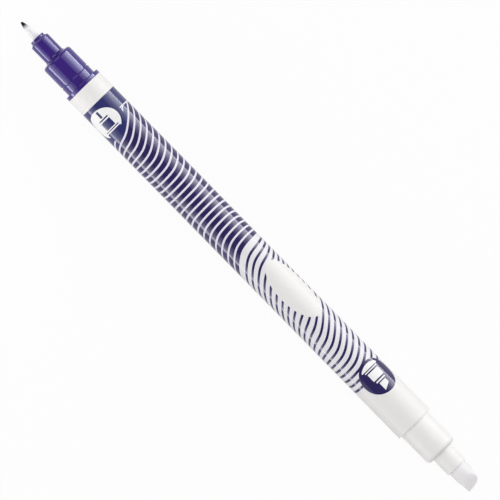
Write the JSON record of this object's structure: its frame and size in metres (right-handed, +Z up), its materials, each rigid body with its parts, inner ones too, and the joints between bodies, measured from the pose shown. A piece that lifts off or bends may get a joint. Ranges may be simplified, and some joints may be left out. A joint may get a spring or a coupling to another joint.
{
  "type": "ink eraser pen",
  "caption": "Double-ended ink eraser pen, open: a slim printed barrel with a fine rewriting nib in a stepped navy nose and a felt chisel eraser nib in a white nose.",
  "frame": {"origin": "under the middle of the pen's length, on the surface that the barrel lies on", "axes": "+X along the pen from the rewriting nib towards the eraser nib, +Z up, +Y across; the eraser nib's broad faces look up and down"},
  "size_m": [0.144, 0.0094, 0.0094],
  "materials": {
    "printed_barrel": "gloss white with a navy line print",
    "plug_plastic": "matt natural",
    "navy_plastic": "gloss navy",
    "rewriter_fibre": "bonded fibre, dark with ink at the point",
    "ink_fibre": "fibre soaked with ink",
    "reservoir_film": "thin clear film",
    "white_plastic": "satin gloss white",
    "eraser_felt": "pressed felt",
    "eraser_fibre": "fibre soaked with clear eraser fluid"
  },
  "bodies": {
    "root": {"barrel": "printed_barrel", "centre_plug": "plug_plastic", "rewriter_nose": "navy_plastic", "rewriter_nib": "rewriter_fibre", "ink_reservoir": "ink_fibre", "ink_reservoir_film": "reservoir_film", "eraser_nose": "white_plastic", "eraser_nib_sleeve": "white_plastic", "eraser_nib": "eraser_felt", "eraser_reservoir": "eraser_fibre", "eraser_reservoir_film": "reservoir_film"}
  },
  "joints": []
}
